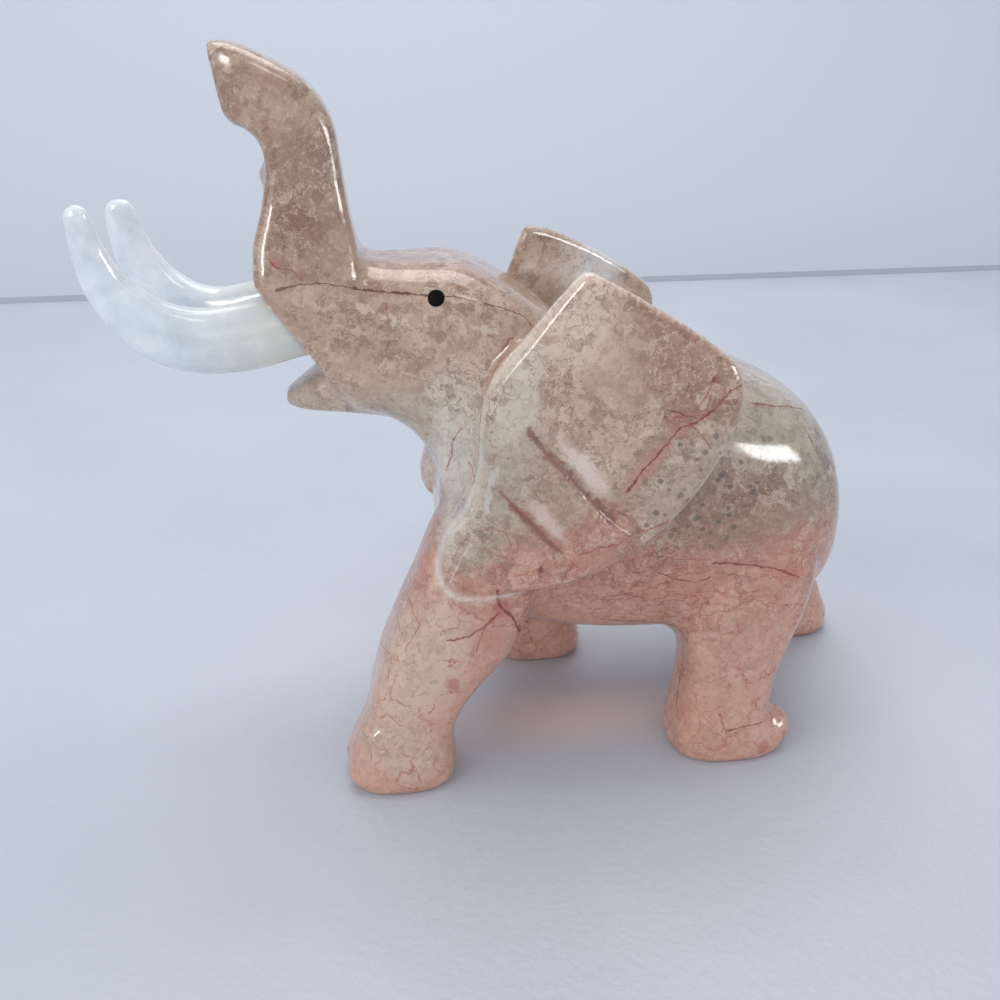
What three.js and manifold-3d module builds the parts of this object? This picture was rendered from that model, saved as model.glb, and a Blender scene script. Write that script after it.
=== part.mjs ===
// Onyx elephant figurine with a raised trunk. One block of stone is carved into the body, the head,
// the trunk, both ears, the tail and the four legs. Two white tusks are glued into sockets in the
// cheeks, and two small black eyes are set in drilled holes.
// Millimetres, +Z up. The elephant looks along -X, its left side is towards -Y, and it stands on z = 0.

import * as THREE from 'three';
import { mergeVertices } from 'three/addons/utils/BufferGeometryUtils.js';
import Module from 'manifold-3d';

const wasm = await Module();
wasm.setup();

// Driving sizes
const height = 114; // from the floor to the tip of the trunk
const eyeDiameter = 2.5;
const eyeDepth = 2.2; // how deep an eye sits in the head
const eyeProud = 0.2; // how far the middle of an eye stands out of the head
const eyeClearance = 0.2; // between an eye and its hole, all round
const tuskHeight = 10.4; // a tusk's thickness at the cheek, seen from the side
const tuskWidth = 7; // the same, seen from the front
const tuskSpacing = 11.6; // between the middles of the two tusks at the cheeks
const tuskSocket = 4.5; // how deep a tusk goes into the cheek
const tuskClearance = 0.3; // between a tusk and its socket, all round
const earThickness = 2.8; // at the free edge of an ear
const gougeDepth = 1.5; // of the longer cut in an ear

// The form of the figure is given in hundredths of its height.
const share = height / 100;

// How finely the solids are faceted
const sides = { torso: 24, trunk: 18, leg: 16, tail: 8, jaw: 12, tusk: 12, eye: 14 };
const rowSteps = 2; // between two rows of a loft
const outlineSteps = 2; // between two corners of a side outline
const fineSteps = 20; // the same, where a place on the head is looked up
const domeSteps = 4; // on the face of an eye, from its rim to its middle
const mergeDistance = 1e-4; // between corners that are one

// Smooth curve through rows of numbers: column by column, a cubic through each four rows in turn.
function smoothRows(rows) {
  const at = (i) => rows[Math.min(Math.max(i, 0), rows.length - 1)];
  const result = [];
  for (let i = 0; i < rows.length - 1; i += 1) {
    for (let k = 0; k < rowSteps; k += 1) {
      const t = k / rowSteps;
      result.push(at(i).map((value, c) => {
        const [before, next, after] = [at(i - 1)[c], at(i + 1)[c], at(i + 2)[c]];
        const slope = (next - before) / 2;
        const endSlope = (after - value) / 2;
        return value + slope * t + (3 * (next - value) - 2 * slope - endSlope) * t ** 2
          + (2 * (value - next) + slope + endSlope) * t ** 3;
      }));
    }
  }
  result.push(rows[rows.length - 1]);
  return result;
}

// One coordinate of a superellipse, from the cosine or the sine of its angle.
const rounded = (wave, power) => Math.sign(wave) * Math.abs(wave) ** (2 / power);

// Closed geometry from rings of points of equal count. A cap closes each end with a fan.
function skin(rings) {
  const count = rings[0].length;
  const points = rings.flat();
  const middles = [rings[0], rings[rings.length - 1]].map((ring) => {
    const sum = ring.reduce((total, p) => total.add(p), new THREE.Vector3());
    return sum.divideScalar(count);
  });
  points.push(...middles);
  const index = [];
  for (let r = 0; r < rings.length - 1; r += 1) {
    for (let k = 0; k < count; k += 1) {
      const [a, b] = [r * count + k, r * count + ((k + 1) % count)];
      index.push(a, b, b + count, a, b + count, a + count);
    }
  }
  const [first, last] = [points.length - 2, points.length - 1];
  const start = (rings.length - 1) * count;
  for (let k = 0; k < count; k += 1) {
    const next = (k + 1) % count;
    index.push(first, next, k, last, start + k, start + next);
  }
  const geometry = new THREE.BufferGeometry().setFromPoints(points);
  geometry.setIndex(index);
  return mergeVertices(geometry, mergeDistance);
}

// Volume inside a closed mesh, negative where its faces point in.
function volume(positions, index) {
  const corner = [0, 1, 2].map(() => new THREE.Vector3());
  let total = 0;
  for (let i = 0; i < index.length; i += 3) {
    corner.forEach((v, k) => v.fromArray(positions, 3 * index[i + k]));
    total += corner[0].dot(corner[1].cross(corner[2])) / 6;
  }
  return total;
}

// A solid for joining and cutting, with its faces turned out.
function solid(geometry) {
  const vertProperties = new Float32Array(geometry.attributes.position.array);
  const triVerts = new Uint32Array(geometry.index.array);
  if (volume(vertProperties, triVerts) < 0) {
    for (let i = 0; i < triVerts.length; i += 3) {
      [triVerts[i], triVerts[i + 1]] = [triVerts[i + 1], triVerts[i]];
    }
  }
  return new wasm.Manifold(new wasm.Mesh({ numProp: 3, vertProperties, triVerts }));
}

// Solid lofted through rows of x, y, z, turn, tall, wide, power. Each section is a superellipse
// square to a line of travel that keeps to an upright plane and rises at `turn` degrees from +X.
// It is `tall` from its middle to its edge in that plane, and `wide` along Y, and `grow` is added all
// round.
function loft(rows, count, grow = 0) {
  const rings = smoothRows(rows).map(([x, y, z, turn, tall, wide, power]) => {
    const angle = THREE.MathUtils.degToRad(turn);
    const across = new THREE.Vector3(-Math.sin(angle), 0, Math.cos(angle));
    const ring = [];
    for (let k = 0; k < count; k += 1) {
      const around = (2 * Math.PI * (k + 0.5)) / count;
      const lift = (tall * share + grow) * rounded(Math.sin(around), power);
      const point = new THREE.Vector3(x, y, z).multiplyScalar(share).addScaledVector(across, lift);
      point.y += (wide * share + grow) * rounded(Math.cos(around), power);
      ring.push(point);
    }
    return ring;
  });
  return solid(skin(rings));
}

// Side outline as a closed smooth curve through [x, z] corners.
function outline(corners, steps = outlineSteps) {
  const points = corners.map(([x, z]) => new THREE.Vector3(x * share, 0, z * share));
  const curve = new THREE.CatmullRomCurve3(points, true, 'centripetal');
  return curve.getPoints(corners.length * steps).slice(0, -1);
}

// Torso, from the chest to the rump
const torsoRows = [
  [-8.6, 0, 37.5, 0, 5.5, 6.5, 2.3],
  [-7.5, 0, 38, 0, 11.5, 11, 2.5],
  [-3.5, 0, 38.5, 0, 16, 14.6, 2.6],
  [4, 0, 38.4, 0, 20, 16.8, 2.8],
  [14, 0, 38.4, 0, 21.6, 18.4, 2.9],
  [25, 0, 37.6, 0, 21.2, 19, 2.9],
  [35, 0, 36.3, 0, 20, 18.8, 2.8],
  [42.5, 0, 35.2, 0, 18, 17.6, 2.7],
  [47.2, 0, 34.4, 0, 15.2, 15.4, 2.5],
  [50.4, 0, 33.2, 0, 11.4, 12, 2.4],
  [52, 0, 32, 0, 7.4, 8, 2.2],
  [52.6, 0, 31.2, 0, 3.6, 4, 2],
];

// Head and neck: a block with this side outline, rounded off towards its edge
const headMiddle = { x: -8, z: 60 };
const headOutline = [
  [-20, 73.2], [-12, 73], [-5.6, 72.9], [-1, 71.3], [4, 68.2], [9.5, 63.6], [13, 57], [13.5, 47],
  [9, 38], [1, 32.5], [-5.5, 33], [-8.4, 38.5], [-8.9, 44], [-11.4, 48.6], [-15.4, 51.7], [-21, 53.2],
  [-28, 55.5], [-33, 60], [-34, 67], [-30.6, 72], [-26, 73.4],
];
const headPower = 3.6;
const headRings = [0.04, 0.35, 0.6, 0.78, 0.9, 0.97, 0.995]; // as a share of the way to the outline

// Half the width of the head block: narrow at the trunk, wide at the ears.
const cheeks = { back: 8, front: -26, backWidth: 14.8, frontWidth: 8.2, power: 1.15 };
const headHalfWidth = (x) => {
  const forward = Math.max(0, (cheeks.back - x / share) / (cheeks.back - cheeks.front));
  return cheeks.backWidth - (cheeks.backWidth - cheeks.frontWidth) * forward ** cheeks.power;
};

// Half the width of the carved head at a place on its side.
function headSide(x, z) {
  const [dx, dz] = [x - headMiddle.x * share, z - headMiddle.z * share];
  const edge = outline(headOutline, fineSteps).reduce((best, p) => {
    const [ex, ez] = [p.x - headMiddle.x * share, p.z - headMiddle.z * share];
    const turn = Math.abs(Math.atan2(dx * ez - dz * ex, dx * ex + dz * ez));
    return turn < best.turn ? { turn, reach: Math.hypot(ex, ez) } : best;
  }, { turn: Infinity, reach: 1 });
  const part = Math.min(1, Math.hypot(dx, dz) / edge.reach);
  return headHalfWidth(x) * share * (1 - part ** headPower) ** (1 / headPower);
}

function head() {
  const edge = outline(headOutline);
  const ringAt = (part, side) => edge.map((p) => {
    const x = (1 - part) * headMiddle.x * share + part * p.x;
    const z = (1 - part) * headMiddle.z * share + part * p.z;
    const bulge = (1 - part ** headPower) ** (1 / headPower);
    return new THREE.Vector3(x, side * headHalfWidth(x) * share * bulge, z);
  });
  const near = headRings.map((part) => ringAt(part, -1));
  const far = headRings.map((part) => ringAt(part, 1)).reverse();
  return solid(skin([...near, edge, ...far]));
}

const jawRows = [
  [-10, 0, 54.6, 180, 4.5, 7.4, 3],
  [-18, 0, 55.6, 180, 4, 6.9, 3.2],
  [-23, 0, 55.3, 180, 3.3, 5.8, 3],
  [-26.4, 0, 54.4, 180, 2.2, 4.3, 2.8],
  [-29.2, 0, 53.7, 180, 0.9, 2.2, 2.4],
];

// The cheeks are sawn off flat in front, along a plane square to the side view through these two places.
const cheekCut = [[-31.9, 71.6], [-23, 58.6]];

// Block of waste in front of the cheek plane
function cheekWaste() {
  const [high, low] = cheekCut.map(([x, z]) => new THREE.Vector3(x * share, 0, z * share));
  const down = low.clone().sub(high);
  const size = 2 * down.length();
  const geometry = new THREE.BoxGeometry(size, size, 2 * size);
  geometry.deleteAttribute('normal');
  geometry.deleteAttribute('uv');
  geometry.translate(-size / 2, 0, 0);
  geometry.rotateY(Math.atan2(-down.x, -down.z));
  const middle = high.add(low).divideScalar(2);
  geometry.translate(middle.x, 0, middle.z);
  return solid(mergeVertices(geometry, mergeDistance));
}

// Trunk, from inside the forehead up to its hooked tip
const trunkRows = [
  [-21, 0, 56.5, 90, 7.5, 8.6, 5],
  [-23, 0, 63, 90, 8.6, 9.2, 5],
  [-24.4, 0, 68, 90, 7.9, 9.2, 4.8],
  [-24.8, 0, 72, 90, 7.1, 8.6, 4.6],
  [-24.9, 0, 76, 90, 6.6, 7.3, 4.4],
  [-24.6, 0, 80.5, 90, 5.5, 6, 4.4],
  [-24.5, 0, 85.5, 92, 4.8, 5.3, 4.3],
  [-25.1, 0, 89.3, 108, 4.8, 5, 4.2],
  [-26.9, 0, 92, 134, 4.7, 4.8, 4.2],
  [-29.7, 0, 93.9, 156, 4.5, 4.6, 4],
  [-32.4, 0, 95, 174, 4.7, 4.1, 3.6],
  [-34.5, 0, 95.7, 188, 4.4, 3.1, 3],
];

// Legs, from inside the torso down to the soles. Along the way down, `tall` runs along X.
const legRows = {
  frontLeft: [
    [2.5, -8.4, 47, -90, 3, 3, 2.2],
    [0.6, -9.6, 43, -90, 7, 5.4, 2.5],
    [-1.6, -11.4, 37.5, -90, 8.5, 6.8, 2.8],
    [-3.4, -12.6, 32, -90, 9.2, 7.2, 3],
    [-6, -13.6, 26, -90, 9.5, 7.2, 3.2],
    [-8.6, -14.6, 20.5, -90, 9.4, 6.9, 3.4],
    [-11.6, -15.4, 15.6, -90, 7.9, 6.5, 3.4],
    [-13.7, -15.9, 11.2, -90, 6.8, 6.3, 3.4],
    [-15, -16.2, 7.6, -90, 6.9, 6.6, 3.2],
    [-15.7, -16.4, 4.4, -90, 7.7, 7.3, 3],
    [-15.9, -16.4, 1.6, -90, 7.9, 7.5, 2.9],
    [-15.9, -16.4, 0, -90, 7.2, 6.8, 2.9],
  ],
  frontRight: [
    [3.5, 8.4, 47, -90, 3, 3, 2.2],
    [2.4, 9.6, 43, -90, 7, 5.4, 2.5],
    [1.4, 11.2, 37.5, -90, 8.5, 6.8, 2.8],
    [1.6, 12.2, 32, -90, 9.2, 7.2, 3],
    [2.8, 13, 26, -90, 9.2, 7.2, 3.2],
    [5.2, 13.8, 20.5, -90, 8.5, 6.9, 3.4],
    [7.2, 14.4, 15.6, -90, 7.5, 6.6, 3.4],
    [8.5, 14.8, 11.2, -90, 6.9, 6.4, 3.4],
    [9.1, 15, 7.6, -90, 7, 6.7, 3.2],
    [9.3, 15.1, 4.4, -90, 7.6, 7.3, 3],
    [9.4, 15.1, 1.6, -90, 7.9, 7.5, 2.9],
    [9.4, 15.1, 0, -90, 7.2, 6.8, 2.9],
  ],
  rearLeft: [
    [38, -8.6, 43, -90, 3.5, 4, 2.2],
    [38.2, -10, 38, -90, 7.4, 6.6, 2.5],
    [37.6, -11.6, 31, -90, 9.2, 7.4, 2.8],
    [35.6, -13.3, 24, -90, 9.6, 7.4, 3.2],
    [34.7, -14.2, 19, -90, 8.4, 7, 3.4],
    [34, -15, 14, -90, 7.1, 6.6, 3.4],
    [33.3, -15.6, 9.6, -90, 6.9, 6.5, 3.4],
    [33.1, -16, 6.4, -90, 7.3, 6.7, 3.2],
    [33.5, -16.1, 3.8, -90, 8.2, 7.1, 2.9],
    [34.1, -16.1, 1.6, -90, 9.1, 7.3, 2.7],
    [34, -16.1, 0, -90, 8.4, 6.7, 2.7],
  ],
  rearRight: [
    [38, 8.6, 43, -90, 3.5, 4, 2.2],
    [39.4, 10, 38, -90, 7.2, 6.6, 2.5],
    [42, 11.4, 31, -90, 8.4, 7.4, 2.8],
    [45.2, 13.3, 24, -90, 8.9, 7.4, 3.2],
    [48.6, 14.2, 19, -90, 8.2, 7, 3.4],
    [51.8, 15, 14, -90, 7.3, 6.6, 3.4],
    [54.2, 15.6, 9.6, -90, 6.9, 6.5, 3.4],
    [55.4, 16, 6.4, -90, 7.1, 6.7, 3.2],
    [56, 16.1, 3.8, -90, 7.7, 7.1, 2.9],
    [56.1, 16.1, 1.6, -90, 7.9, 7.3, 2.7],
    [56.1, 16.1, 0, -90, 7.2, 6.7, 2.7],
  ],
};

// Short tail lying on the rump
const tailRows = [
  [46.6, 0, 47, -58, 1, 1.4, 2],
  [48.9, 0, 44.4, -55, 1.7, 1.8, 2.2],
  [51.4, 0, 39.4, -68, 1.7, 1.6, 2.2],
  [52.7, 0, 33.6, -82, 1.5, 1.4, 2.2],
  [53, 0, 28, -90, 1.4, 1.5, 2.2],
  [52.5, 0, 24, -98, 0.9, 1.1, 2],
];

// Ear: a slab with this side outline, thick where it leaves the neck and thin at its free edge
const earMiddle = { x: 9, z: 50 };
const earFree = [
  [18, 69.8], [26.3, 64.6], [28.8, 62.4], [29.8, 59.4], [29.6, 56], [27, 49.6], [22.3, 42.6],
  [16.5, 37.2], [10, 33.3], [2, 30.8], [-5, 30], [-8.6, 31], [-9.9, 34.2], [-9, 38.4], [-6, 42.8],
  [-4.2, 48], [-3.7, 55], [-2.2, 59.6],
];
const left = -1;
const right = 1;
const earFront = {
  [left]: [[2.6, 65.6], [8.8, 73], [10, 73.8], [10.8, 73.6]],
  [right]: [[3.2, 64], [6.4, 71.6], [7.4, 73.4], [8.6, 73.6]],
};
const earGougeRows = [
  { from: [2, 54.3], to: [15.2, 40.4], width: 4.2, depth: 1 },
  { from: [-1.8, 45.6], to: [7.4, 36.3], width: 3.6, depth: 0.8 },
];

// How far out the face of an ear is: a slanting plane that leans out towards the back and the foot.
const earPlane = { x: -9, z: 61.5, out: 16, back: 0.17, down: 0.12 };
const earFace = (x, z) => (
  share * (earPlane.out + earPlane.back * (x - earPlane.x) + earPlane.down * (earPlane.z - z)));

// How much thicker an ear is than at its free edge, where it leaves the neck
const earRoot = { x: -8, reach: 9, extra: 6.5 };
const earExtra = (x) => share * earRoot.extra * Math.exp(-(((x - earRoot.x) / earRoot.reach) ** 2));

// Round the ear's free edge, as [share of the way out to it, share of the way in through the slab]
const earProfile = [
  [0.02, 0], [0.55, 0], [0.94, 0.03], [0.985, 0.2], [1, 0.5], [0.985, 0.8], [0.94, 0.97], [0.55, 1],
  [0.02, 1],
];

function ear(side) {
  const edge = outline([...earFront[side], ...earFree]);
  const rings = earProfile.map(([part, inward]) => edge.map((p) => {
    const x = ((1 - part) * earMiddle.x * share + part * p.x) / share;
    const z = ((1 - part) * earMiddle.z * share + part * p.z) / share;
    const y = earFace(x, z) - inward * (earThickness + earExtra(x));
    return new THREE.Vector3(x * share, side * y, z * share);
  }));
  let result = solid(skin(rings));
  for (const row of earGougeRows) {
    result = result.subtract(gouge(row, side));
  }
  return result;
}

// Slanting cut in the face of an ear, one wall steep and the other shallow, deeper towards its end.
// Its section is [share of the width, share of the depth], and its size grows along the cut.
const gougeLift = 1; // of the cutter's top above the face
const gougeSection = { steepLip: -0.5, bottom: -0.12, shallowLip: 1.1 };
const gougeSizes = [[0, 0.15], [0.3, 0.5], [0.65, 0.8], [0.93, 1], [1, 0.5]];

function gouge({ from, to, width, depth }, side) {
  const along = new THREE.Vector2(to[0] - from[0], to[1] - from[1]);
  const across = new THREE.Vector2(-along.y, along.x).normalize();
  const at = (part, offset, lift) => {
    const x = from[0] + along.x * part + across.x * offset;
    const z = from[1] + along.y * part + across.y * offset;
    return new THREE.Vector3(x * share, side * (earFace(x, z) + lift), z * share);
  };
  const rings = gougeSizes.map(([part, size]) => [
    at(part, gougeSection.steepLip * width * size, gougeLift),
    at(part, gougeSection.bottom * width * size, -depth * gougeDepth * size),
    at(part, gougeSection.shallowLip * width * size, gougeLift),
  ]);
  return solid(skin(rings));
}

// Tusk: an even curve out of the cheek and up to a blunt tip, the right one a little shorter. Rows hold
// x, y, z, turn and thickness, as a share of the thickness at the cheek.
const tuskLine = {
  [left]: [
    [-26.8, 0, 65.6, 186, 1],
    [-33, 0.4, 64.2, 183, 1.01],
    [-38.8, 1.1, 63.9, 170, 0.96],
    [-43.8, 1.8, 65.4, 152, 0.88],
    [-47.6, 2.4, 68.6, 133, 0.75],
    [-50, 2.9, 72.4, 117, 0.6],
    [-51.2, 3.3, 76.4, 106, 0.46],
    [-51.7, 3.7, 80.5, 96, 0.33],
    [-51.7, 3.7, 81.9, 92, 0.13],
  ],
  [right]: [
    [-26.8, 0, 65.6, 186, 1],
    [-33, 0.4, 64.2, 183, 1.01],
    [-38.2, 1.1, 63.7, 170, 0.96],
    [-42.6, 1.8, 65, 152, 0.88],
    [-46.1, 2.4, 68, 133, 0.76],
    [-48.3, 2.9, 71.4, 117, 0.65],
    [-49.5, 3.3, 74.8, 106, 0.55],
    [-50.1, 3.7, 78.4, 97, 0.42],
    [-50.2, 3.7, 79.9, 93, 0.17],
  ],
};

const tuskPower = 2.3;
const peg = { size: 0.9, rise: 0.2 }; // the hidden end of a tusk, in its socket

function tuskRows(side, extra) {
  const spacing = tuskSpacing / 2 / share;
  const [tall, wide] = [tuskHeight / 2 / share, tuskWidth / 2 / share];
  const rows = tuskLine[side].map(([x, out, z, turn, size]) => (
    [x, side * (spacing + out), z, turn, tall * size, wide * size, tuskPower]));
  const [x, y, z, turn] = rows[0];
  const reach = (tuskSocket + extra) / share;
  return [[x + reach, y, z + peg.rise, turn, tall * peg.size, wide * peg.size, tuskPower], ...rows];
}

// Eye: a short round pin with a domed face, square to the side of the head.
const eyePlace = { x: -8.5, z: 69.3 };
const eyeCutterProud = 3; // how far the cutter of its hole stands out of the head

function eyePin(side, radius, depth, dome) {
  const [x, z] = [eyePlace.x * share, eyePlace.z * share];
  const surface = headSide(x, z);
  const profile = [[0, surface - depth], [radius, surface - depth], [radius, surface]];
  for (let k = 1; k < domeSteps; k += 1) {
    const turn = (Math.PI / 2) * (k / domeSteps);
    profile.push([radius * Math.cos(turn), surface + dome * Math.sin(turn)]);
  }
  profile.push([0, surface + dome]);
  const points = profile.map(([r, y]) => new THREE.Vector2(r, y));
  const geometry = new THREE.LatheGeometry(points, sides.eye);
  geometry.deleteAttribute('normal');
  geometry.deleteAttribute('uv');
  if (side < 0) {
    geometry.rotateX(Math.PI);
  }
  geometry.translate(x, 0, z);
  return solid(mergeVertices(geometry, mergeDistance));
}

function body() {
  let block = head().add(loft(trunkRows, sides.trunk));
  block = block.subtract(cheekWaste());
  block = block.add(loft(jawRows, sides.jaw));
  block = block.add(loft(torsoRows, sides.torso));
  block = block.add(loft(tailRows, sides.tail));
  for (const rows of Object.values(legRows)) {
    block = block.add(loft(rows, sides.leg));
  }
  for (const side of [left, right]) {
    block = block.add(ear(side));
    block = block.subtract(loft(tuskRows(side, tuskClearance), sides.tusk, tuskClearance));
    const hole = eyePin(side, eyeDiameter / 2 + eyeClearance, eyeDepth + eyeClearance, eyeCutterProud);
    block = block.subtract(hole);
  }
  return block;
}

function meshFrom(name, manifold, colour, roughness) {
  const { vertProperties, triVerts } = manifold.getMesh();
  const geometry = new THREE.BufferGeometry();
  geometry.setAttribute('position', new THREE.BufferAttribute(vertProperties, 3));
  geometry.setIndex(new THREE.BufferAttribute(triVerts, 1));
  geometry.computeVertexNormals();
  const material = new THREE.MeshStandardMaterial({ color: colour, roughness, metalness: 0 });
  const mesh = new THREE.Mesh(geometry, material);
  mesh.name = name;
  return mesh;
}

const figure = new THREE.Group();
figure.name = 'elephant';
figure.add(meshFrom('body', body(), '#c0a59b', 0.2));
for (const [name, side] of [['left', left], ['right', right]]) {
  figure.add(meshFrom(`tusk_${name}`, loft(tuskRows(side, 0), sides.tusk), '#e9eeea', 0.15));
  figure.add(meshFrom(`eye_${name}`, eyePin(side, eyeDiameter / 2, eyeDepth, eyeProud), '#0b0a0c', 0.1));
}

// The origin is on the floor, under the middle of the whole figure.
const box = new THREE.Box3().setFromObject(figure);
const middle = box.getCenter(new THREE.Vector3());
figure.position.set(-middle.x, -middle.y, 0);

export default figure;
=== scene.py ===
import math

import bmesh
import bpy
import numpy as np
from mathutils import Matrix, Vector
from mathutils.bvhtree import BVHTree


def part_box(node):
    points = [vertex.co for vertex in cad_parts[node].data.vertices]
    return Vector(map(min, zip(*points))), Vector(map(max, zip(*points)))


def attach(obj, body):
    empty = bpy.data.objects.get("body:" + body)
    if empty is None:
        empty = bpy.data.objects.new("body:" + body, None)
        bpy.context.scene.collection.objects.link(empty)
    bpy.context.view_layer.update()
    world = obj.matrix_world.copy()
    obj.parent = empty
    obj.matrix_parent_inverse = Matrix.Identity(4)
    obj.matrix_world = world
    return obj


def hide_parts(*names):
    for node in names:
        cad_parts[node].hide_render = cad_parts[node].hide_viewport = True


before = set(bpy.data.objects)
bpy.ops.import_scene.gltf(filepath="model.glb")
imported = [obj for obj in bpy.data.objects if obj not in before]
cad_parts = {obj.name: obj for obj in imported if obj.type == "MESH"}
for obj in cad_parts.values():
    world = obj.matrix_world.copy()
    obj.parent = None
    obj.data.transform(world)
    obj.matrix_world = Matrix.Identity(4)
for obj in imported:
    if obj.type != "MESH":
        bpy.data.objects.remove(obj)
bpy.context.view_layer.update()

# Camera: it stands before the figure's left shoulder and looks down on it. The cracks and stains of
# the stone are placed by where they show in its 1000 x 1000 picture.
picture_size = 1000
focal_length = 1050  # in pixels of that picture
sensor_width = 36  # millimetres
camera_turn = math.radians(8)  # away from square on to the figure's side, towards its face
camera_tilt = math.radians(25)  # down
camera_distance = 0.172
camera_target = Vector((-0.00603, -0.00974, 0.045))

look = Vector((
    math.sin(camera_turn) * math.cos(camera_tilt),
    math.cos(camera_turn) * math.cos(camera_tilt),
    -math.sin(camera_tilt),
))
camera_right = look.cross(Vector((0, 0, 1))).normalized()
camera_up = camera_right.cross(look)
camera_data = bpy.data.cameras.new("camera")
camera_data.sensor_width = sensor_width
camera_data.lens = sensor_width * focal_length / picture_size
camera_data.clip_start = 0.01
camera = bpy.data.objects.new("camera", camera_data)
camera.location = camera_target - camera_distance * look
camera.rotation_euler = look.to_track_quat("-Z", "Y").to_euler()
bpy.context.scene.collection.objects.link(camera)
bpy.context.scene.camera = camera

# Body: torso, head, trunk, jaw, ears, tail and legs are carved from one block of stone and polished.
# Its form is given in hundredths of the figure's height, in the carver's own frame, where the figure's
# middle plane is y = 0 and the floor is z = 0.
height = 0.114
share = height / 100
eye_place = (-8.5, 69.3)
left_eye_low, left_eye_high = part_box("eye_left")
right_eye_low, right_eye_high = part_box("eye_right")
carving_place = np.array([
    (left_eye_low[0] + left_eye_high[0]) / 2 - eye_place[0] * share,
    (left_eye_low[1] + right_eye_high[1]) / 2,
    0,
])


def smooth_rows(rows, steps):
    """Smooth curve through rows of numbers, column by column. Between two rows it is the cubic that
    meets both, with half the difference of a row's neighbours as its slope there."""
    rows = np.asarray(rows, float)
    padded = np.concatenate([rows[:1], rows, rows[-1:]])
    before, start, end, after = (padded[k:len(rows) - 1 + k, None, :] for k in range(4))
    t = np.linspace(0, 1, steps, endpoint=False)[None, :, None]
    slope = (end - before) / 2
    end_slope = (after - start) / 2
    curve = (start + slope * t + (3 * (end - start) - 2 * slope - end_slope) * t ** 2
             + (2 * (start - end) + slope + end_slope) * t ** 3)
    return np.concatenate([curve.reshape(-1, rows.shape[1]), rows[-1:]])


def loft(rows, count=96, steps=12):
    """Rings of points lofted through rows of x, y, z, turn, tall, wide, power. A ring is a superellipse
    square to a line of travel that rises at `turn` degrees from +X. It reaches `tall` from its middle
    in the upright plane and `wide` along Y: |u / tall| ** power + |v / wide| ** power = 1."""
    x, y, z, turn, tall, wide, power = smooth_rows(rows, steps).T[:, :, None]
    around = 2 * np.pi * (np.arange(count) + 0.5) / count
    lift = tall * np.sign(np.sin(around)) * np.abs(np.sin(around)) ** (2 / power)
    side = wide * np.sign(np.cos(around)) * np.abs(np.cos(around)) ** (2 / power)
    angle = np.radians(turn)
    return np.stack([x - np.sin(angle) * lift, y + side, z + np.cos(angle) * lift], -1)


def closed_curve(corners, steps=12):
    """Closed centripetal Catmull-Rom curve through [x, z] corners: a knot's step to the next one is
    the square root of their distance."""
    corners = np.asarray(corners, float)
    before, start, end, after = (np.roll(corners, 1 - k, 0)[:, None, :] for k in range(4))
    span = [np.linalg.norm(b - a, axis=-1, keepdims=True) ** 0.5
            for a, b in ((before, start), (start, end), (end, after))]
    slope = span[1] * ((start - before) / span[0] - (end - before) / (span[0] + span[1])
                       + (end - start) / span[1])
    end_slope = span[1] * ((end - start) / span[1] - (after - start) / (span[1] + span[2])
                           + (after - end) / span[2])
    t = np.linspace(0, 1, steps, endpoint=False)[None, :, None]
    curve = (start + slope * t + (3 * (end - start) - 2 * slope - end_slope) * t ** 2
             + (2 * (start - end) + slope + end_slope) * t ** 3)
    return curve.reshape(-1, 2)


def closed_form(rings):
    """Points and faces of a closed tube: quads between neighbouring rings and a polygon on each end."""
    count, around = rings.shape[:2]
    index = np.arange(count * around).reshape(count, around)
    near, far = index[:-1], index[1:]
    quads = np.stack([near, np.roll(near, -1, 1), np.roll(far, -1, 1), far], -1).reshape(-1, 4)
    return rings.reshape(-1, 3), quads.tolist() + [index[0, ::-1].tolist(), index[-1].tolist()]


torso_rows = [
    [-8.6, 0, 37.5, 0, 5.5, 6.5, 2.3],
    [-7.5, 0, 38, 0, 11.5, 11, 2.5],
    [-3.5, 0, 38.5, 0, 16, 14.6, 2.6],
    [4, 0, 38.4, 0, 20, 16.8, 2.8],
    [14, 0, 38.4, 0, 21.6, 18.4, 2.9],
    [25, 0, 37.6, 0, 21.2, 19, 2.9],
    [35, 0, 36.3, 0, 20, 18.8, 2.8],
    [42.5, 0, 35.2, 0, 18, 17.6, 2.7],
    [47.2, 0, 34.4, 0, 15.2, 15.4, 2.5],
    [50.4, 0, 33.2, 0, 11.4, 12, 2.4],
    [52, 0, 32, 0, 7.4, 8, 2.2],
    [52.6, 0, 31.2, 0, 3.6, 4, 2],
]

# Head and neck: a block with this side outline, rounded off towards its edge.
head_middle = np.array([-8, 60])
head_outline = [
    [-20, 73.2], [-12, 73], [-5.6, 72.9], [-1, 71.3], [4, 68.2], [9.5, 63.6], [13, 57], [13.5, 47],
    [9, 38], [1, 32.5], [-5.5, 33], [-8.4, 38.5], [-8.9, 44], [-11.4, 48.6], [-15.4, 51.7], [-21, 53.2],
    [-28, 55.5], [-33, 60], [-34, 67], [-30.6, 72], [-26, 73.4],
]
head_power = 3.6
cheek_back, cheek_front = 8, -26
cheek_back_width, cheek_front_width = 14.8, 8.2
cheek_power = 1.15


def head_half_width(x):
    """Half the width of the head block, falling from the ears to the trunk by a power of the way."""
    forward = np.maximum(0, (cheek_back - x) / (cheek_back - cheek_front))
    return cheek_back_width - (cheek_back_width - cheek_front_width) * forward ** cheek_power


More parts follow.
